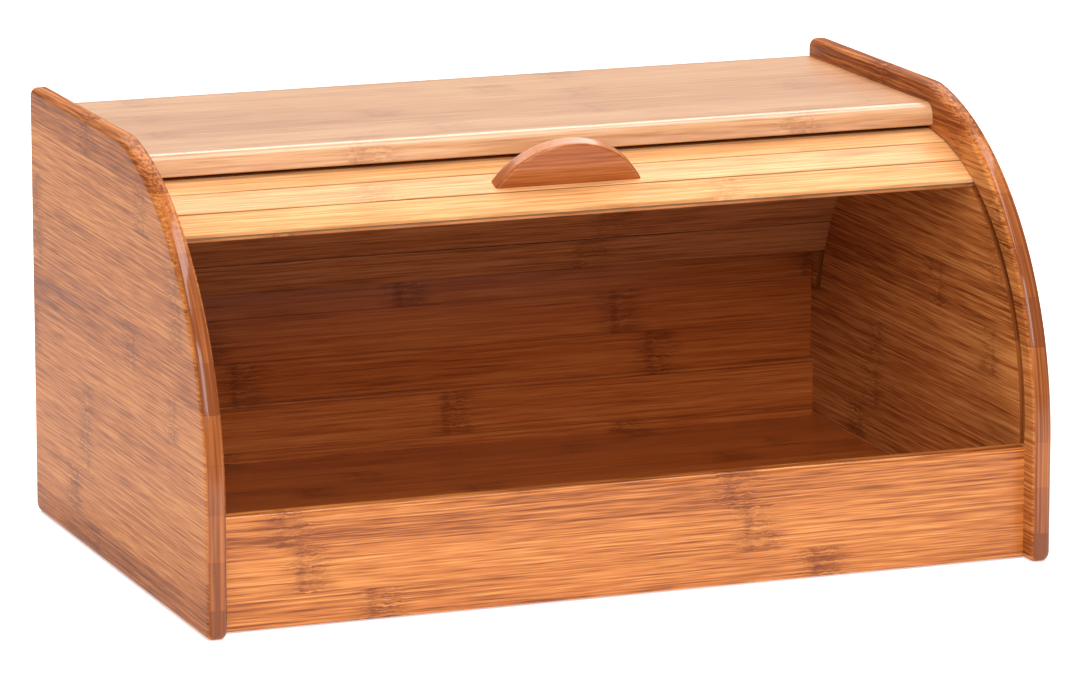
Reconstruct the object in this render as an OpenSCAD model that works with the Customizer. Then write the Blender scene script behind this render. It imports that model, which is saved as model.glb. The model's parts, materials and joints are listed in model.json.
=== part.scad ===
// Bamboo bread box with a roll-top lid.
// Frame: +X to the right, -Y to the front, +Z up.
// Origin: centre of the footprint, on the surface it stands on.
// The lid is drawn open. It turns about the centre line of its curved track.

/* [Body] */
// Overall width, over both side panels
body_w = 400; // [330:1:480]
// Overall depth of the side panels
body_d = 262; // [216:1:312]
// Overall height of the side panels
body_h = 201; // [166:1:240]
// Thickness of the side panels
side_t = 9; // [8:0.5:14]
// Radius of the curved front edge of the side panels
front_r = 148; // [135:1:180]
// How far the crown of that curve would stand above the top edge
front_drop = 2; // [1:0.5:12]
// Radius that blends the curve into the top edge
blend_r = 34; // [15:1:60]
// Radius of the side panels' square corners
corner_r = 5; // [4:0.5:10]
// Round-over on every edge of the side panels
edge_r = 3; // [1.5:0.25:4]

/* [Boards] */
// Thickness of the top panel
top_t = 10; // [8:0.5:14]
// Front-to-back size of the top panel
top_d = 145.5; // [120:0.5:180]
// Step from the side panels' top edge down to the top panel
top_step = 9; // [6:0.5:16]
// Round-over on the top panel's upper front edge
top_nose_r = 6; // [3:0.5:7.5]
// Height of the front board's top edge above the table
front_h = 52; // [40:1:60]
// Thickness of the front board
front_t = 9; // [8:0.5:14]
// How far the front board's face stands ahead of the track line at its top
front_step = 3.3; // [1.5:0.1:5]
// Thickness of the lower back board
back_low_t = 9; // [8:0.5:14]
// Height of the lower back board's top edge above the table
back_low_h = 44; // [36:1:60]
// Thickness of the upper back panel
back_up_t = 6; // [5:0.5:8]
// Thickness of the bottom panel
bottom_t = 7; // [5:0.5:10]
// Height of the bottom panel's underside above the table
bottom_z = 9; // [6:0.5:14]
// Inset of the boards from the side panels' back edge
back_inset = 1; // [0.5:0.5:4]
// Gap between the boards and the table
board_lift = 1; // [0.5:0.5:3]

/* [Track] */
// Track centre line behind the side panels' front edge
track_front = 14; // [10:0.5:18]
// Track centre line in front of the side panels' back edge
track_back = 14; // [10:0.5:18]
// Track centre line below the top panel's underside
track_top = 4; // [3:0.5:12]
// Depth of the routed track
track_depth = 5; // [4:0.5:5.5]
// Clearance of the lid in the track, inside and outside
track_gap = 0.35; // [0.3:0.05:0.8]

/* [Lid] */
// Number of slats behind the front rail
slat_count = 11; // [9:1:13]
// Slat pitch along the canvas
slat_pitch = 17.3; // [14:0.1:20]
// Front rail pitch along the canvas
rail_pitch = 14.7; // [12:0.1:28]
// Thickness of the outer strips
outer_t = 2; // [1.6:0.1:2.6]
// Thickness of the inner strips
inner_t = 1.6; // [1.4:0.1:2.2]
// Thickness of the canvas between them
canvas_t = 0.3; // [0.2:0.05:0.5]
// Gap between neighbouring strips
slat_gap = 0.4; // [0.15:0.05:0.5]
// How far the rail's inner strip stands below its outer strip
lip = 0.5; // [0.2:0.1:3]
// Angle of the rail's lower edge above the front horizontal, lid open
open_deg = 59.9; // [50:0.1:64]
// Free track behind the last slat, lid open
tail_deg = 10.3; // [6.5:0.1:12]

/* [Handle] */
// Width of the handle
handle_w = 70; // [50:1:90]
// Height of the handle
handle_h = 20; // [16:0.5:26]
// Thickness of the handle
handle_t = 8; // [7:0.5:12]
// Round-over on the handle's curved edges
handle_edge_r = 1.5; // [0.5:0.25:2.5]
// Distance from the handle's front face to the rail
handle_offset = 3; // [0.5:0.5:4]
// Distance between the handle's two screws
screw_spacing = 34; // [24:1:40]

/* [Joinery] */
// Radius of the wooden dowels
dowel_r = 3; // [2.5:0.5:3.5]
// Length of the wooden dowels
dowel_l = 18; // [14:1:24]
// Dowel depth in the side panels
dowel_in = 5; // [4:0.5:6]
// Depth of the housings for the bottom and the upper back panel
housing_depth = 3; // [2:0.5:4]
// Gap around a dowel, and round a panel in its housing
fit_gap = 0.05; // [0.05:0.05:0.2]

/* [Hidden] */
$fn = 96;
eps = 0.01;
over = 1; // how far a cut reaches past the face it opens
deg = 180 / PI;

// Inner width, and the level of the top panel's underside
inner_w = body_w - 2 * side_t;
top_z = body_h - top_step;
top_under = top_z - top_t;
back_y = body_d / 2 - back_inset;
top_front_y = back_y - top_d;

// Side panel outline: the big arc, and the small one that blends it into the top edge
arc_y = front_r - body_d / 2;
arc_z = body_h + front_drop - front_r;
blend_z = body_h - blend_r;
blend_y = arc_y - sqrt(pow(front_r - blend_r, 2) - pow(blend_z - arc_z, 2));
blend_deg = atan2(arc_y - blend_y, blend_z - arc_z);
edge_fn = 24;

// Track circle, about an axis along X
track_r = (body_d - track_front - track_back) / 2;
track_y = (track_back - track_front) / -2;
track_z = top_under - track_top - track_r;

// Lid angles, from the front horizontal upwards
slat_deg = slat_pitch / track_r * deg;
rail_deg = rail_pitch / track_r * deg;
lip_deg = lip / track_r * deg;
seam_deg = open_deg + rail_deg;
end_deg = seam_deg + slat_count * slat_deg;

glue_gap = 0.1;
inner_less = 0.4; // how much narrower an inner strip is than its outer one
canvas_inset = 2; // from the canvas's edge to the side panel

// Strip stack: distance of each flat face from the track axis, and widths of the strips
outer_seat = track_r + canvas_t / 2 + glue_gap;
outer_face = outer_seat + outer_t;
slat_w = 2 * outer_seat * tan(slat_deg / 2) - slat_gap;
rail_w = 2 * outer_seat * tan(rail_deg / 2) - slat_gap;
canvas_in = track_r - canvas_t / 2;
slat_in_w = slat_w - inner_less;
rail_in_w = rail_w - inner_less + lip;
slat_seat = flat_inside(canvas_in - glue_gap, slat_in_w);
rail_seat = flat_inside(canvas_in - glue_gap, rail_in_w);
strip_edge_r = 0.45;
strip_end_gap = 0.7; // between a strip's end and the bottom of the track
strip_l = inner_w + 2 * (track_depth - strip_end_gap);
canvas_l = inner_w - 2 * canvas_inset;
stack_t = outer_face - slat_seat + inner_t; // inner strip to outer strip, over both

// Groove walls clear the corners of the widest strip
groove_out = norm([outer_face, rail_w / 2]) + track_gap;
groove_in = rail_seat - inner_t - track_gap;
groove_front_deg = asin((front_h - track_z) / track_r);

// Front board: under the closed lid's edge
lid_line_y = track_y - sqrt(pow(track_r, 2) - pow(front_h - track_z, 2));
front_y = lid_line_y - front_step;
front_edge_r = 2.2;
back_edge_r = 0.8;
nose_low_r = 1; // lower front edge of the top panel
low_y = back_y - back_low_t;
up_y = back_y - back_up_t;
bottom_l = low_y - (front_y + front_t);

// Handle: a segment of a disc, standing square on the first slat, off its centre line
handle_y = handle_offset + (handle_t - slat_w) / 2;
handle_r = (pow(handle_w / 2, 2) + pow(handle_h, 2)) / (2 * handle_h);

// Countersunk handle screws
screw_r = 1.4;
screw_head_r = 2.8;
screw_head_h = 1.4;
screw_grip = 11; // thread in the handle
screw_gap = 0.1;
slot_l = 3;
slot_w = 0.6;
slot_h = 0.7;

dowel_span = 16; // between the rear dowel and the top panel's back edge
nose_span = 28; // between the front dowel and the top panel's nose
dowel_low = 0.28; // share of a board's height at its lower dowel; the upper one mirrors it
dowel_end_gap = 0.5; // free length of a dowel hole in a board
top_dowel_y = [top_front_y + nose_span, (top_front_y + back_y) / 2, back_y - dowel_span];
front_dowel_z = [front_h * dowel_low, front_h * (1 - dowel_low)];
back_dowel_z = [back_low_h * dowel_low, back_low_h * (1 - dowel_low)];

SLATS = [for (i = [1 : slat_count]) str(i < 10 ? "0" : "", i)];

// Distance from the axis to a flat strip of width w whose corners reach radius r
function flat_inside(r, w) = sqrt(r * r - w * w / 4);

// Middle angle of slat i, counted from 1
function slat_mid(i) = seam_deg + (i - 0.5) * slat_deg;

// Stands a (y, z) outline up and gives it length l along X, centred
module along_x(l) rotate([90, 0, 90]) linear_extrude(l, center = true) children();

// Turns a (radius, x) section about an axis along X, from angle a to angle b above the front horizontal
module turn(y, z, a, b) translate([0, y, z]) rotate([90, 0, 90])
    rotate_extrude(angle = b - a, start = 180 - b) children();

// Places children, drawn with the axis at the origin and "out" along +Z, at angle a of the track
module on_track(a) translate([0, track_y, track_z]) rotate([90 - a, 0, 0]) children();

// A rectangle whose +Y corners are rounded
module round_top_rect(w, h, r) {
    translate([-w / 2, 0]) square([w, h - r]);
    translate([-w / 2 + r, h - r - eps]) square([w - 2 * r, r + eps]);
    for (s = [-1, 1]) translate([s * (w / 2 - r), h - r]) circle(r);
}

// Round tubes along both edges of an arc of the side panel's outline
module edge_arc(y, z, r, a, b) turn(y, z, a, b) intersection() {
    for (s = [-1, 1]) translate([r - edge_r, s * (side_t / 2 - edge_r)]) circle(edge_r, $fn = edge_fn);
    translate([0, -side_t / 2]) square([r, side_t]);
}

// The side panel as a plain rounded board, centred on x = 0
module side_board() {
    c = corner_r;
    y_end = body_d / 2 - c;
    arc_end = 90 - blend_deg;
    hull() {
        edge_arc(arc_y, arc_z, front_r, 0, arc_end);
        edge_arc(blend_y, blend_z, blend_r, arc_end, 90);
        edge_arc(y_end, body_h - c, c, 90, 180);
        edge_arc(y_end, c, c, 180, 270);
        edge_arc(-y_end, c, c, 270, 360);
    }
}

// What is routed and drilled into the inner face of the right-hand panel, whose inner face is at x = 0
module side_cuts() {
    turn(track_y, track_z, groove_front_deg, end_deg + tail_deg)
        translate([groove_in, -over]) square([groove_out - groove_in, track_depth + over]);
    translate([-over, front_y + front_t, bottom_z - fit_gap])
        cube([housing_depth + over, bottom_l, bottom_t + 2 * fit_gap]);
    translate([-over, up_y - fit_gap, back_low_h])
        cube([housing_depth + over, back_up_t + 2 * fit_gap, top_under - back_low_h]);
    dowel_places() translate([0, 0, -over]) cylinder(r = dowel_r + fit_gap, h = dowel_in + over);
}

// Each dowel's place on the inner face of the right-hand panel, pointing along +X
module dowel_places() {
    top_dowel_places() children();
    front_dowel_places() children();
    back_dowel_places() children();
}

module top_dowel_places() for (y = top_dowel_y)
    translate([0, y, top_z - top_t / 2]) rotate([0, 90, 0]) children();
module front_dowel_places() for (z = front_dowel_z)
    translate([0, front_y + front_t / 2, z]) rotate([0, 90, 0]) children();
module back_dowel_places() for (z = back_dowel_z)
    translate([0, low_y + back_low_t / 2, z]) rotate([0, 90, 0]) children();

// Does a thing at the right-hand inner face, and again as its mirror image at the left
module both_ends() for (s = [0, 1]) mirror([s, 0, 0]) translate([inner_w / 2, 0, 0]) children();

module right_side_panel() color("peru") translate([inner_w / 2, 0, 0]) difference() {
    translate([side_t / 2, 0, 0]) side_board();
    side_cuts();
}

module left_side_panel() color("peru") mirror([1, 0, 0]) right_side_panel();

module board_dowel_holes() both_ends() dowel_places()
    translate([0, 0, dowel_in - dowel_l - dowel_end_gap]) cylinder(r = dowel_r + fit_gap, h = dowel_l);

// The top panel: a large round-over on the upper front edge, a small one below
module top_panel() color("burlywood") difference() {
    translate([0, top_front_y, top_under]) along_x(inner_w) union() {
        translate([top_nose_r, 0]) square([top_d - top_nose_r, top_t]);
        translate([0, nose_low_r]) square([top_nose_r + eps, top_t - top_nose_r - nose_low_r]);
        translate([nose_low_r, 0]) square([top_nose_r, nose_low_r + eps]);
        translate([nose_low_r, nose_low_r]) circle(nose_low_r);
        intersection() {
            translate([top_nose_r, top_t - top_nose_r]) circle(top_nose_r);
            translate([0, top_t - top_nose_r]) square(top_nose_r + eps);
        }
    }
    board_dowel_holes();
}

module front_board() color("sandybrown") difference() {
    translate([0, front_y + front_t / 2, board_lift]) along_x(inner_w)
        round_top_rect(front_t, front_h - board_lift, front_edge_r);
    board_dowel_holes();
}

module lower_back_board() color("peru") difference() {
    translate([0, low_y + back_low_t / 2, board_lift]) along_x(inner_w)
        round_top_rect(back_low_t, back_low_h - board_lift, back_edge_r);
    board_dowel_holes();
}

module upper_back_panel() color("peru") {
    l = inner_w + 2 * (housing_depth - fit_gap);
    translate([-l / 2, up_y, back_low_h]) cube([l, back_up_t, top_under - back_low_h]);
}

module bottom_panel() color("peru") {
    l = inner_w + 2 * (housing_depth - fit_gap);
    translate([-l / 2, front_y + front_t, bottom_z]) cube([l, bottom_l, bottom_t]);
}

module dowel() translate([0, 0, dowel_in - dowel_l]) cylinder(r = dowel_r, h = dowel_l - fit_gap);
module top_dowels() color("tan") both_ends() top_dowel_places() dowel();
module front_dowels() color("tan") both_ends() front_dowel_places() dowel();
module back_dowels() color("tan") both_ends() back_dowel_places() dowel();

// A strip of the lid at angle a: its canvas side at seat, face outwards (side 1) or inwards (side -1)
module strip(a, seat, w, t, side) on_track(a) translate([0, 0, seat])
    mirror([0, 0, side > 0 ? 0 : 1]) along_x(strip_l) round_top_rect(w, t, strip_edge_r);

// Places children in the middle of the handle's foot, drawn with the track's axis at the origin
module on_first_slat() on_track(slat_mid(1)) translate([0, handle_y, 0]) children();

module screw_places() for (s = [-1, 1])
    on_first_slat() translate([s * screw_spacing / 2, 0, slat_seat - inner_t]) children();

// The hole that a handle screw passes through, with its countersink on the inner side
module screw_holes() screw_places() {
    translate([0, 0, -over]) cylinder(r = screw_r + screw_gap, h = stack_t + 2 * over);
    translate([0, 0, -screw_gap])
        cylinder(r1 = screw_head_r + screw_gap, r2 = screw_r + screw_gap, h = screw_head_h);
}

module front_rail_outer() color("burlywood")
    strip(open_deg + rail_deg / 2, outer_seat, rail_w, outer_t, 1);

module front_rail_inner() color("peru")
    strip(open_deg + (rail_deg - lip_deg) / 2, rail_seat, rail_in_w, inner_t, -1);

module slat_outer(i) color("burlywood") difference() {
    strip(slat_mid(i), outer_seat, slat_w, outer_t, 1);
    if (i == 1) screw_holes();
}

module slat_inner(i) color("peru") difference() {
    strip(slat_mid(i), slat_seat, slat_in_w, inner_t, -1);
    if (i == 1) screw_holes();
}

module lid_canvas() color("linen") difference() {
    turn(track_y, track_z, open_deg - lip_deg / 2, end_deg - slat_gap / track_r * deg)
        translate([canvas_in, -canvas_l / 2]) square([canvas_t, canvas_l]);
    screw_holes();
}

// The handle: a rounded disc, cut off at the face of the slat
module handle() color("chocolate") difference() {
    on_first_slat() intersection() {
        translate([0, 0, outer_face + handle_h - handle_r]) rotate([90, 0, 0])
            rotate_extrude() handle_section();
        translate([-handle_w / 2 - over, -handle_t, outer_face])
            cube([handle_w + 2 * over, 2 * handle_t, handle_h + over]);
    }
    screw_places() cylinder(r = screw_r + fit_gap, h = stack_t + screw_grip + over);
}

// Half of the disc's section: radius along X, thickness along Y
module handle_section() {
    r = handle_edge_r;
    translate([0, -handle_t / 2]) square([handle_r - r, handle_t]);
    translate([0, r - handle_t / 2]) square([handle_r, handle_t - 2 * r]);
    for (s = [-1, 1]) translate([handle_r - r, s * (handle_t / 2 - r)]) circle(r);
}

module handle_screws() color("silver") screw_places() difference() {
    union() {
        cylinder(r1 = screw_head_r, r2 = screw_r, h = screw_head_h);
        cylinder(r = screw_r, h = stack_t + screw_grip);
    }
    for (a = [0, 90]) rotate(a)
        translate([-slot_l / 2, -slot_w / 2, -over]) cube([slot_l, slot_w, slot_h + over]);
}

left_side_panel();
right_side_panel();
top_panel();
front_board();
lower_back_board();
upper_back_panel();
bottom_panel();
top_dowels();
front_dowels();
back_dowels();
front_rail_outer();
front_rail_inner();
for (i = [1 : slat_count]) {
    slat_outer(i);
    slat_inner(i);
}
lid_canvas();
handle();
handle_screws();
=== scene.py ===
import json
import math

import bmesh
import bpy
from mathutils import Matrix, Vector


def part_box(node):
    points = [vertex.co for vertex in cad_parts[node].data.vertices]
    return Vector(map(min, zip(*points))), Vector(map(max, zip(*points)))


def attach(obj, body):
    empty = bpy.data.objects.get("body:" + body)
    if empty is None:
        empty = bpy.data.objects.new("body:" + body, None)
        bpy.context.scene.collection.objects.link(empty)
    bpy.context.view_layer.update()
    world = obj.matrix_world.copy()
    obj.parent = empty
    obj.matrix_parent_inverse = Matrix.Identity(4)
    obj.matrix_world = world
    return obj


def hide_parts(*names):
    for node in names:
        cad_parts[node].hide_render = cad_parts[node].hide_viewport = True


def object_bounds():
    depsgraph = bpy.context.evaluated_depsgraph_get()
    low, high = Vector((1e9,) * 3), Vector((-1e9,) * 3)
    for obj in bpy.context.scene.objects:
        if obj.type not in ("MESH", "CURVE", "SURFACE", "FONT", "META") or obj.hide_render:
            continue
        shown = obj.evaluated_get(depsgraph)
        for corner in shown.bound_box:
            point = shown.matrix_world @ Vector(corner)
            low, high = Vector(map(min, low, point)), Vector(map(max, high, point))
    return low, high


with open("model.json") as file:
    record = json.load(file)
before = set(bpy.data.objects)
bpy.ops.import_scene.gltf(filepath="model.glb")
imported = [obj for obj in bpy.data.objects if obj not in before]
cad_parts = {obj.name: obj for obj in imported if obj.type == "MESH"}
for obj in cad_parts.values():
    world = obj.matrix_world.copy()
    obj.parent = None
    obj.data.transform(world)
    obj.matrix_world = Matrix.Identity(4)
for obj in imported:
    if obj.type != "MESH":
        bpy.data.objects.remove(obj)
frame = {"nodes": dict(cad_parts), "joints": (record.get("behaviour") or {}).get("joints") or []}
cad_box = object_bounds()

# ---------------------------------------------------------------- sizes, in metres
SIDE_T = 0.009            # side panels
CORNER_R = 0.005
EDGE_R = 0.003
FRONT_R, FRONT_Y, FRONT_Z = 0.148, 0.017, 0.055      # big arc of the side panels
BLEND_R = 0.034                                      # blend into the top edge
TRACK_DEPTH = 0.005
TRACK_IN, TRACK_OUT = 0.1146, 0.1198                 # walls of the track
TRACK_FROM, TRACK_TO = -4.41, 170.6                  # degrees above the front horizontal
STRIP = 0.0212                                       # width of a laminated bamboo strip
SLAT_PITCH_DEG = 8.47
SEAM_DEG = 67.1                                      # seam between the front rail and the first slat
CANVAS_R = 0.117
CANVAS_FROM, CANVAS_TO = 59.8, 160.1
AXIS_Y, AXIS_Z = frame["joints"][0]["pos_m"][1:]

HALF_W, HALF_D, HEIGHT = cad_box[1][0], cad_box[1][1], cad_box[1][2]
LAND = 0.0003             # flat ring just inside a side panel's rounded edge
HOUSING_GAP = 0.0001      # clearance round a panel in its housing
CUT_PAST = 0.002          # how far a cutter starts in front of the face it opens
EASED = 0.0004            # bevel on the panels' edges
STRIP_EASED = 0.0005      # bevel on the outer strips' edges

# knuckles: raggedness of the dark line, its half width, and the reach of the halo round it
KNUCKLE_RAGGED = 0.010
KNUCKLE_CORE = 0.0042
KNUCKLE_HALO = 0.017
# fibre noise, in cycles per metre: along the grain, across it, through the thickness
STREAK = (7.0, 820.0, 300.0)
DASH = (36.0, 1300.0, 900.0)
SEAM_HALF = 0.0005        # half the width of a drawn seam line: a glue line, and painted shade in the gaps between slats
WORLD_LIGHT = 0.35        # strength of the world as a light
FLOOR_GLOW = 0.45         # keeps the floor white where the lamps don't reach
THREAD = 0.0009           # pitch of the canvas's weave


# ---------------------------------------------------------------- node helpers
def linear(rgb):
    """An sRGB colour of 0 to 255 as linear RGBA."""
    def one(c):
        c /= 255
        return c / 12.92 if c <= 0.04045 else ((c + 0.055) / 1.055) ** 2.4
    return tuple(one(c) for c in rgb) + (1.0,)


class Tree:
    """A new material with short calls for its nodes."""

    def __init__(self, name):
        self.mat = bpy.data.materials.new(name)
        self.mat.use_nodes = True
        self.nodes = self.mat.node_tree.nodes
        self.links = self.mat.node_tree.links
        self.shader = self.nodes["Principled BSDF"]

    def put(self, socket, value):
        if isinstance(value, bpy.types.NodeSocket):
            self.links.new(value, socket)
        else:
            socket.default_value = value

    def math(self, op, a, b=0.0, c=0.0, clamp=False):
        n = self.nodes.new("ShaderNodeMath")
        n.operation = op
        n.use_clamp = clamp
        for socket, value in zip(n.inputs, (a, b, c)):
            self.put(socket, value)
        return n.outputs[0]

    def object_xyz(self, output="Object"):
        c = self.nodes.new("ShaderNodeTexCoord")
        s = self.nodes.new("ShaderNodeSeparateXYZ")
        self.links.new(c.outputs[output], s.inputs[0])
        return s.outputs

    def vector(self, x, y, z):
        n = self.nodes.new("ShaderNodeCombineXYZ")
        for socket, value in zip(n.inputs, (x, y, z)):
            self.put(socket, value)
        return n.outputs[0]

    def noise(self, vec, detail=3.0, rough=0.55):
        n = self.nodes.new("ShaderNodeTexNoise")
        self.put(n.inputs["Vector"], vec)
        self.put(n.inputs["Scale"], 1.0)
        self.put(n.inputs["Detail"], detail)
        self.put(n.inputs["Roughness"], rough)
        return n.outputs["Fac"]

    def random(self, value):
        n = self.nodes.new("ShaderNodeTexWhiteNoise")
        n.noise_dimensions = "1D"
        self.put(n.inputs["W"], value)
        return n.outputs["Value"]

    def smooth(self, value, low, high):
        """0 at low, 1 at high, smooth between."""
        n = self.nodes.new("ShaderNodeMapRange")
        n.interpolation_type = "SMOOTHSTEP"
        self.put(n.inputs["Value"], value)
        self.put(n.inputs["From Min"], low)
        self.put(n.inputs["From Max"], high)
        return n.outputs["Result"]

    def ramp(self, fac, stops):
        n = self.nodes.new("ShaderNodeValToRGB")
        e = n.color_ramp.elements
        while len(e) < len(stops):
            e.new(0.5)
        for item, (place, colour) in zip(e, stops):
            item.position = place
            item.color = colour
        self.put(n.inputs["Fac"], fac)
        return n.outputs["Color"]

    def mix(self, fac, a, b, blend="MIX"):
        n = self.nodes.new("ShaderNodeMix")
        n.data_type = "RGBA"
        n.blend_type = blend
        self.put(n.inputs["Factor"], fac)
        self.put(n.inputs[6], a)
        self.put(n.inputs[7], b)
        return n.outputs[2]

    def bump(self, height, strength, distance):
        n = self.nodes.new("ShaderNodeBump")
        self.put(n.inputs["Height"], height)
        self.put(n.inputs["Strength"], strength)
        self.put(n.inputs["Distance"], distance)
        self.links.new(n.outputs["Normal"], self.shader.inputs["Normal"])


def bamboo(name, grain, across, dark, mid, light, strip=STRIP, shift=0.0, seed=0.0, knuckle=0.8,
           spacing=0.21, seam_line_and_gap_shade=0.4, rough=0.34, coat=0.3, coat_rough=0.1, rim_coat=0.0, gloss=0.2,
           contrast=1.0, tones=0.3, pale_rim=0.0):
    """Lacquered laminated bamboo. grain and across name the axes "x", "y" or "z"; across "arc" is round the lid."""
    t = Tree(name)
    xyz = t.object_xyz()
    axes = {"x": xyz[0], "y": xyz[1], "z": xyz[2]}
    u = axes[grain]
    if across == "arc":
        up = t.math("SUBTRACT", xyz[2], AXIS_Z)
        forward = t.math("SUBTRACT", AXIS_Y, xyz[1])
        v = t.math("MULTIPLY", t.math("ARCTAN2", up, forward), CANVAS_R)
        w = t.math("MULTIPLY", up, 0.3)
    else:
        v = axes[across]
        w = next(axes[a] for a in "xyz" if a not in (grain, across))
    s = t.math("ADD", t.math("DIVIDE", v, strip), shift)
    index = t.math("FLOOR", s)
    part = t.math("FRACT", s)
    tone = t.random(t.math("ADD", index, seed + 0.5))
    offset = t.random(t.math("ADD", index, seed + 31.5))
    own = t.math("ADD", u, t.math("MULTIPLY", offset, 7.0))

    # knuckles of the cane: a dark ragged line, and fibres that swirl round it
    along = t.math("FRACT", t.math("ADD", t.math("DIVIDE", u, spacing), offset))
    signed = t.math("MULTIPLY", t.math("SUBTRACT", along, 0.5), spacing)
    ragged = t.noise(t.vector(t.math("MULTIPLY", own, 120.0), t.math("MULTIPLY", v, 420.0), 0.0), 3.0, 0.65)
    wide = t.noise(t.vector(t.math("MULTIPLY", own, 40.0), t.math("MULTIPLY", v, 130.0), 3.0), 2.0, 0.5)
    centre = t.math("ADD", signed, t.math("MULTIPLY", t.math("SUBTRACT", ragged, 0.5), KNUCKLE_RAGGED))
    core = t.smooth(t.math("ABSOLUTE", centre), KNUCKLE_CORE, 0.0006)
    halo_at = t.math("ADD", t.math("SUBTRACT", signed, 0.004),
                     t.math("MULTIPLY", t.math("SUBTRACT", wide, 0.5), 0.02))
    halo = t.smooth(t.math("ABSOLUTE", halo_at), KNUCKLE_HALO, 0.003)

    # fibres: long streaks and short dashes, different in each strip, bent near a knuckle
    bend = t.math("MULTIPLY", t.math("MULTIPLY", t.math("SUBTRACT", ragged, 0.5), halo), 0.0042)
    across_v = t.math("ADD", v, bend)
    streak = t.noise(t.vector(*(t.math("MULTIPLY", a, k) for a, k in zip((own, across_v, w), STREAK))), 4.0, 0.66)
    dash = t.noise(t.vector(*(t.math("MULTIPLY", a, k) for a, k in zip((own, across_v, w), DASH))), 2.0, 0.55)
    cloud = t.noise(t.vector(t.math("MULTIPLY", own, 6.0), t.math("MULTIPLY", v, 60.0), w), 2.0, 0.5)
    grainy = t.math("MULTIPLY_ADD", streak, 0.55, t.math("MULTIPLY", dash, 0.45))
    fac = t.math("MULTIPLY_ADD", t.math("SUBTRACT", grainy, 0.5), 3.9 * contrast, 0.5)
    fac = t.math("MULTIPLY_ADD", t.math("SUBTRACT", cloud, 0.5), 0.7 * contrast, fac)
    fac = t.math("MULTIPLY_ADD", t.math("SUBTRACT", tone, 0.5), tones, fac, clamp=True)
    # end grain: fine plies in place of long fibres, and a little darker
    facing = t.object_xyz("Normal")["xyz".index(grain)]
    end = t.smooth(t.math("ABSOLUTE", facing), 0.35, 0.8)
    plies = t.noise(t.vector(t.math("MULTIPLY", w, 750.0), t.math("MULTIPLY", v, 14.0), 5.0), 2.0, 0.5)
    plies = t.math("MULTIPLY_ADD", t.math("SUBTRACT", plies, 0.5), 1.2, 0.06)
    plies = t.math("MULTIPLY_ADD", t.math("SUBTRACT", tone, 0.5), 0.35, plies)
    fac = t.math("MULTIPLY_ADD", end, t.math("SUBTRACT", plies, fac), fac, clamp=True)
    if pale_rim:
        turned = t.smooth(t.math("ABSOLUTE", t.object_xyz("Normal")[1]), 0.8, 0.4)
        fac = t.math("MULTIPLY_ADD", turned, pale_rim, fac, clamp=True)
    colour = t.ramp(fac, [(0.0, linear(dark)), (0.5, linear(mid)), (1.0, linear(light))])

    speckle = t.smooth(dash, 0.62, 0.40)
    inner = t.math("MULTIPLY", halo, t.math("MULTIPLY_ADD", speckle, 0.5, 0.15))
    stain = t.math("MAXIMUM", t.math("MULTIPLY", core, t.math("MULTIPLY_ADD", speckle, 0.45, 0.4)), inner)
    stained = linear([dark[0] * 0.86, dark[1] * 0.74, dark[2] * 0.62])
    stain = t.math("MULTIPLY", t.math("MULTIPLY", stain, knuckle), t.math("MULTIPLY_ADD", end, -0.8, 1.0))
    colour = t.mix(stain, colour, stained)

    # seam line: a dark glue line between laminated strips, and on the slats painted shade in the gaps between them
    near = t.math("MULTIPLY", t.math("MINIMUM", part, t.math("SUBTRACT", 1.0, part)), strip)
    seam_line_and_gap_shade_mask = t.smooth(near, SEAM_HALF, 0.0001)
    colour = t.mix(t.math("MULTIPLY", seam_line_and_gap_shade_mask, seam_line_and_gap_shade), colour, linear([c * 0.55 for c in dark]))
    t.put(t.shader.inputs["Base Color"], colour)
    t.put(t.shader.inputs["Roughness"], t.math("MULTIPLY_ADD", streak, 0.2, rough - 0.1))
    t.put(t.shader.inputs["Specular IOR Level"], gloss)
    t.put(t.shader.inputs["Coat Weight"], t.math("MULTIPLY_ADD", end, rim_coat, coat) if rim_coat else coat)
    t.put(t.shader.inputs["Coat Roughness"], coat_rough)
    t.bump(t.math("SUBTRACT", grainy, t.math("MULTIPLY", seam_line_and_gap_shade_mask, seam_line_and_gap_shade)), 0.22, 0.0003)
    return t.mat


def canvas_cloth(name):
    """Plain-woven canvas."""
    t = Tree(name)
    xyz = t.object_xyz()
    angle = t.math("ARCTAN2", t.math("SUBTRACT", xyz[2], AXIS_Z), t.math("SUBTRACT", AXIS_Y, xyz[1]))
    warp = t.math("SINE", t.math("MULTIPLY", xyz[0], 2 * math.pi / THREAD))
    weft = t.math("SINE", t.math("MULTIPLY", angle, 2 * math.pi * CANVAS_R / THREAD))
    weave = t.math("MULTIPLY_ADD", t.math("MULTIPLY", warp, weft), 0.5, 0.5)
    colour = t.ramp(weave, [(0.0, linear((92, 56, 28))), (1.0, linear((190, 150, 106)))])
    t.put(t.shader.inputs["Base Color"], colour)
    t.put(t.shader.inputs["Roughness"], 0.9)
    t.bump(weave, 0.5, 0.0002)
    return t.mat


def zinc(name):
    """Zinc-plated steel with faint turning marks."""
    t = Tree(name)
    xyz = t.object_xyz()
    marks = t.noise(t.vector(t.math("MULTIPLY", xyz[0], 4000.0), t.math("MULTIPLY", xyz[1], 900.0),
                             t.math("MULTIPLY", xyz[2], 900.0)), 2.0)
    t.put(t.shader.inputs["Base Color"],
          t.ramp(marks, [(0.0, linear((150, 150, 148))), (1.0, linear((196, 196, 192)))]))
    t.put(t.shader.inputs["Metallic"], 1.0)
    t.put(t.shader.inputs["Roughness"], t.math("MULTIPLY_ADD", marks, 0.2, 0.22))
    t.bump(marks, 0.15, 0.0001)
    return t.mat


def pale_floor(name):
    t = Tree(name)
    t.put(t.shader.inputs["Base Color"], linear((250, 250, 250)))
    t.put(t.shader.inputs["Roughness"], 0.9)
    t.put(t.shader.inputs["Emission Color"], linear((255, 255, 255)))
    t.put(t.shader.inputs["Emission Strength"], FLOOR_GLOW)
    return t.mat


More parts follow.
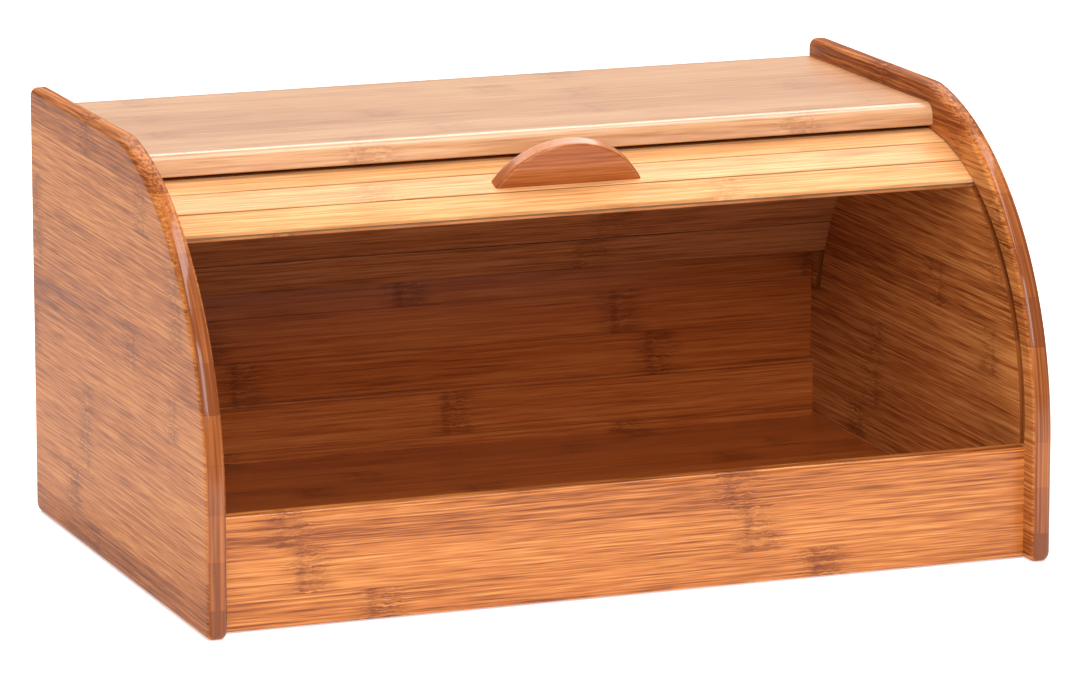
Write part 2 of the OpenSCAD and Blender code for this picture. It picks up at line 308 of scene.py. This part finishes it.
# ---------------------------------------------------------------- materials
side_wood = bamboo("bamboo_side", "y", "z", (116, 58, 24), (174, 100, 48), (204, 136, 76), seed=3.0, shift=0.35,
                   knuckle=0.6, seam_line_and_gap_shade=0.12, coat=0.0, rim_coat=0.6, gloss=0.04, contrast=1.0,
                   tones=0.4)
top_wood = bamboo("bamboo_top", "x", "y", (152, 98, 60), (194, 142, 100), (214, 170, 128), seed=11.0,
                  knuckle=0.35, seam_line_and_gap_shade=0.1, coat=0.6, coat_rough=0.22, contrast=0.6,
                  tones=0.18)
front_wood = bamboo("bamboo_front", "x", "z", (120, 58, 20), (180, 104, 48), (208, 138, 74), seed=23.0, shift=0.3,
                    seam_line_and_gap_shade=0.1, coat=0.2, tones=0.4)
# inside boards: darker, more saturated colours than the front board, painted shade of the case's inside
shaded_inside_wood = bamboo("bamboo_inside", "x", "z", (112, 50, 18), (170, 86, 34), (192, 112, 54), seed=37.0,
                     contrast=0.7)
# bottom panel: the same darker colours, painted shade of the case's inside
shaded_base_wood = bamboo("bamboo_base_painted_shade", "x", "y", (112, 50, 18), (170, 86, 34), (192, 112, 54), seed=43.0,
                   contrast=0.7)
pitch_m = math.radians(SLAT_PITCH_DEG) * CANVAS_R
slat_shift = -math.radians(SEAM_DEG) * CANVAS_R / pitch_m
# the strong seam line on the slats is painted shade in the gaps between them
slat_wood = bamboo("bamboo_slat", "x", "arc", (178, 116, 66), (216, 156, 100), (234, 188, 136), strip=pitch_m,
                   shift=slat_shift, seed=59.0, knuckle=0.4, spacing=0.34, seam_line_and_gap_shade=0.75, coat=0.04,
                   gloss=0.08, contrast=0.7)
slat_back_wood = bamboo("bamboo_slat_back", "x", "arc", (120, 66, 32), (168, 102, 58), (190, 126, 78),
                        strip=pitch_m, shift=slat_shift, seed=71.0, knuckle=0.5, spacing=0.34, seam_line_and_gap_shade=0.0)
handle_wood = bamboo("bamboo_handle", "x", "z", (116, 54, 18), (154, 80, 32), (176, 106, 54), strip=0.5,
                     seed=83.0, knuckle=0.0, seam_line_and_gap_shade=0.0, contrast=0.7, pale_rim=0.5)
dowel_wood = bamboo("dowel_wood", "x", "z", (190, 150, 100), (214, 178, 130), (230, 200, 156), strip=0.5,
                    seed=97.0, knuckle=0.0, seam_line_and_gap_shade=0.0, coat=0.0, rough=0.6)
cloth = canvas_cloth("canvas")
steel = zinc("screw_steel")


# ---------------------------------------------------------------- meshes
def mesh_object(name, verts, faces, material, smooth=True):
    mesh = bpy.data.meshes.new(name)
    mesh.from_pydata(verts, [], faces)
    mesh.validate()
    bm = bmesh.new()
    bm.from_mesh(mesh)
    bmesh.ops.recalc_face_normals(bm, faces=bm.faces)
    bm.to_mesh(mesh)
    bm.free()
    for p in mesh.polygons:
        p.use_smooth = smooth
    mesh.materials.append(material)
    obj = bpy.data.objects.new(name, mesh)
    bpy.context.scene.collection.objects.link(obj)
    return obj


def outline(inset):
    """The side panel's outline in (y, z), moved inwards by inset."""
    blend_z = HEIGHT - BLEND_R
    blend_y = FRONT_Y - math.sqrt((FRONT_R - BLEND_R) ** 2 - (blend_z - FRONT_Z) ** 2)
    meet = math.degrees(math.atan2(blend_z - FRONT_Z, FRONT_Y - blend_y))
    y_end = HALF_D - CORNER_R
    arcs = [
        (FRONT_Y, FRONT_Z, FRONT_R, 0, meet, 64),
        (blend_y, blend_z, BLEND_R, meet, 90, 16),
        (y_end, HEIGHT - CORNER_R, CORNER_R, 90, 180, 12),
        (y_end, CORNER_R, CORNER_R, 180, 270, 12),
        (-y_end, CORNER_R, CORNER_R, 270, 360, 12),
    ]
    points = []
    for y, z, r, start, end, steps in arcs:
        for i in range(steps + 1):
            a = math.radians(start + (end - start) * i / steps)
            points.append((y - (r - inset) * math.cos(a), z + (r - inset) * math.sin(a)))
    return points


def loft(rings, cap=True):
    """Vertices and faces of closed rings joined one to the next."""
    n = len(rings[0])
    verts = [v for ring in rings for v in ring]
    faces = []
    for k in range(len(rings) - 1):
        for i in range(n):
            j = (i + 1) % n
            faces.append((k * n + i, k * n + j, (k + 1) * n + j, (k + 1) * n + i))
    if cap:
        faces.append(tuple(range(n))[::-1])
        faces.append(tuple(range((len(rings) - 1) * n, len(rings) * n)))
    return verts, faces


def box_cutter(name, low, high):
    (x0, y0, z0), (x1, y1, z1) = low, high
    verts = [(x, y, z) for x in (x0, x1) for y in (y0, y1) for z in (z0, z1)]
    faces = [(0, 1, 3, 2), (4, 6, 7, 5), (0, 4, 5, 1), (2, 3, 7, 6), (0, 2, 6, 4), (1, 5, 7, 3)]
    return mesh_object(name, verts, faces, side_wood, smooth=False)


def track_cutter(name, x0, x1):
    steps = 160
    rings = []
    for i in range(steps + 1):
        a = math.radians(TRACK_FROM + (TRACK_TO - TRACK_FROM) * i / steps)
        c, s = math.cos(a), math.sin(a)
        rings.append([(x, AXIS_Y - r * c, AXIS_Z + r * s)
                      for x, r in ((x0, TRACK_IN), (x1, TRACK_IN), (x1, TRACK_OUT), (x0, TRACK_OUT))])
    verts, faces = loft(rings)
    return mesh_object(name, verts, faces, side_wood)


def side_panel(side, name):
    """A side panel with round edges, its track and the housings cut into its inner face."""
    inner, outer = side * (HALF_W - SIDE_T), side * HALF_W
    section = [(inner, EDGE_R + LAND)]
    steps = 7
    for i in range(steps + 1):
        a = math.radians(90 * i / steps)
        section.append((inner + side * EDGE_R * (1 - math.cos(a)), EDGE_R * (1 - math.sin(a))))
    for i in range(steps + 1):
        a = math.radians(90 * i / steps)
        section.append((outer - side * EDGE_R * (1 - math.sin(a)), EDGE_R * (1 - math.cos(a))))
    section.append((outer, EDGE_R + LAND))
    rings = [[(x, y, z) for y, z in outline(inset)] for x, inset in section]
    verts, faces = loft(rings)
    panel = mesh_object(name, verts, faces, side_wood)

    beyond = inner - side * CUT_PAST
    cutters = [track_cutter(name + "_track", beyond, inner + side * TRACK_DEPTH)]
    for node in ("bottom_panel", "upper_back_panel"):
        low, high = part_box(node)
        end = side * (abs(high[0]) + HOUSING_GAP)
        xs = sorted((beyond, end))
        cutters.append(box_cutter(name + "_" + node, (xs[0], low[1] - HOUSING_GAP, low[2] - HOUSING_GAP),
                                  (xs[1], high[1] + HOUSING_GAP, high[2] + HOUSING_GAP)))
    for cutter in cutters:
        cut = panel.modifiers.new("cut", "BOOLEAN")
        cut.operation = "DIFFERENCE"
        cut.solver = "EXACT"
        cut.object = cutter
    bpy.context.view_layer.update()
    done = bpy.data.meshes.new_from_object(panel.evaluated_get(bpy.context.evaluated_depsgraph_get()))
    panel.modifiers.clear()
    panel.data = done
    for cutter in cutters:
        bpy.data.objects.remove(cutter)
    done.set_sharp_from_angle(angle=math.radians(32))
    return panel


def canvas_sheet():
    """The cloth between the inner and outer strips: a curved sheet."""
    low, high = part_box("lid_canvas")
    across, round_ = 24, 96
    verts = []
    faces = []
    for i in range(round_ + 1):
        a = math.radians(CANVAS_FROM + (CANVAS_TO - CANVAS_FROM) * i / round_)
        for j in range(across + 1):
            x = low[0] + (high[0] - low[0]) * j / across
            verts.append((x, AXIS_Y - CANVAS_R * math.cos(a), AXIS_Z + CANVAS_R * math.sin(a)))
    for i in range(round_):
        for j in range(across):
            k = i * (across + 1) + j
            faces.append((k, k + 1, k + across + 2, k + across + 1))
    sheet = mesh_object("lid_cloth", verts, faces, cloth)
    return sheet


def rounded(node, width):
    """Eases a CAD node's sharp corners with a small bevel."""
    bevel = frame["nodes"][node].modifiers.new("eased", "BEVEL")
    bevel.width = width
    bevel.segments = 2
    bevel.limit_method = "ANGLE"
    bevel.angle_limit = math.radians(50)
    bevel.harden_normals = False


def paint(node, material):
    obj = frame["nodes"][node]
    obj.data.materials.clear()
    obj.data.materials.append(material)
    for p in obj.data.polygons:
        p.material_index = 0


case, lid = "case", "roll_lid"
for side, node in ((-1, "left_side_panel"), (1, "right_side_panel")):
    piece = side_panel(side, node + "_wood")
    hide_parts(node)
    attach(piece, case)
piece = canvas_sheet()
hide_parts("lid_canvas")
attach(piece, lid)

paint("top_panel", top_wood)
paint("front_board", front_wood)
paint("lower_back_board", shaded_inside_wood)
paint("upper_back_panel", shaded_inside_wood)
paint("bottom_panel", shaded_base_wood)
for node in ("top_dowels", "front_dowels", "back_dowels"):
    paint(node, dowel_wood)
for node in frame["nodes"]:
    if node.startswith("slat_outer") or node == "front_rail_outer":
        paint(node, slat_wood)
        rounded(node, STRIP_EASED)
    if node.startswith("slat_inner") or node == "front_rail_inner":
        paint(node, slat_back_wood)
paint("handle", handle_wood)
paint("handle_screws", steel)
for node in ("upper_back_panel", "bottom_panel"):
    rounded(node, EASED)

# ---------------------------------------------------------------- stage, light and camera
floor_mesh = bpy.data.meshes.new("floor")
floor_mesh.from_pydata([(-30, -30, 0), (30, -30, 0), (30, 30, 0), (-30, 30, 0)], [], [(0, 1, 2, 3)])
floor_mesh.materials.append(pale_floor("floor"))
floor = bpy.data.objects.new("floor", floor_mesh)
bpy.context.scene.collection.objects.link(floor)

# the world is white to the camera and dimmer as a light
world = bpy.data.worlds.new("studio")
bpy.context.scene.world = world
world.use_nodes = True
background = world.node_tree.nodes["Background"]
background.inputs["Color"].default_value = (1.0, 1.0, 1.0, 1.0)
seen = world.node_tree.nodes.new("ShaderNodeLightPath")
strength = world.node_tree.nodes.new("ShaderNodeMath")
strength.operation = "MULTIPLY_ADD"
strength.inputs[1].default_value = 1.0 - WORLD_LIGHT
strength.inputs[2].default_value = WORLD_LIGHT
world.node_tree.links.new(seen.outputs["Is Camera Ray"], strength.inputs[0])
world.node_tree.links.new(strength.outputs[0], background.inputs["Strength"])


def softbox(name, place, target, size, watts):
    data = bpy.data.lights.new(name, "AREA")
    data.shape = "RECTANGLE"
    data.size, data.size_y = size
    data.energy = watts
    obj = bpy.data.objects.new(name, data)
    bpy.context.scene.collection.objects.link(obj)
    obj.location = place
    aim = bpy.data.objects.new(name + "_aim", None)
    bpy.context.scene.collection.objects.link(aim)
    aim.location = target
    track = obj.constraints.new("TRACK_TO")
    track.target = aim
    track.track_axis = "TRACK_NEGATIVE_Z"
    track.up_axis = "UP_Y"


softbox("key", (-0.3, -1.6, 1.1), (0.0, 0.0, 0.1), (1.0, 0.8), 20)
softbox("fill", (-1.4, -1.5, 0.9), (-0.2, -0.1, 0.1), (1.0, 0.8), 4)
softbox("over", (0.2, -0.27, 1.5), (0.0, -0.05, 0.2), (2.0, 0.4), 20)
softbox("back", (0.2, 1.2, 1.3), (0.0, 0.0, 0.2), (2.0, 0.8), 26)

CAMERA_AT = (-1.0081, -2.6429, 0.6971)
CAMERA_YAW, CAMERA_PITCH = 20.95, 12.08
CAMERA_LENS = 209.9
camera = bpy.data.cameras.new("camera")
camera.lens = CAMERA_LENS
camera.sensor_width = 36
camera_object = bpy.data.objects.new("camera", camera)
bpy.context.scene.collection.objects.link(camera_object)
camera_object.location = CAMERA_AT
camera_object.rotation_euler = (math.radians(90 - CAMERA_PITCH), 0.0, -math.radians(CAMERA_YAW))
bpy.context.scene.camera = camera_object
bpy.context.scene.view_settings.view_transform = "Standard"
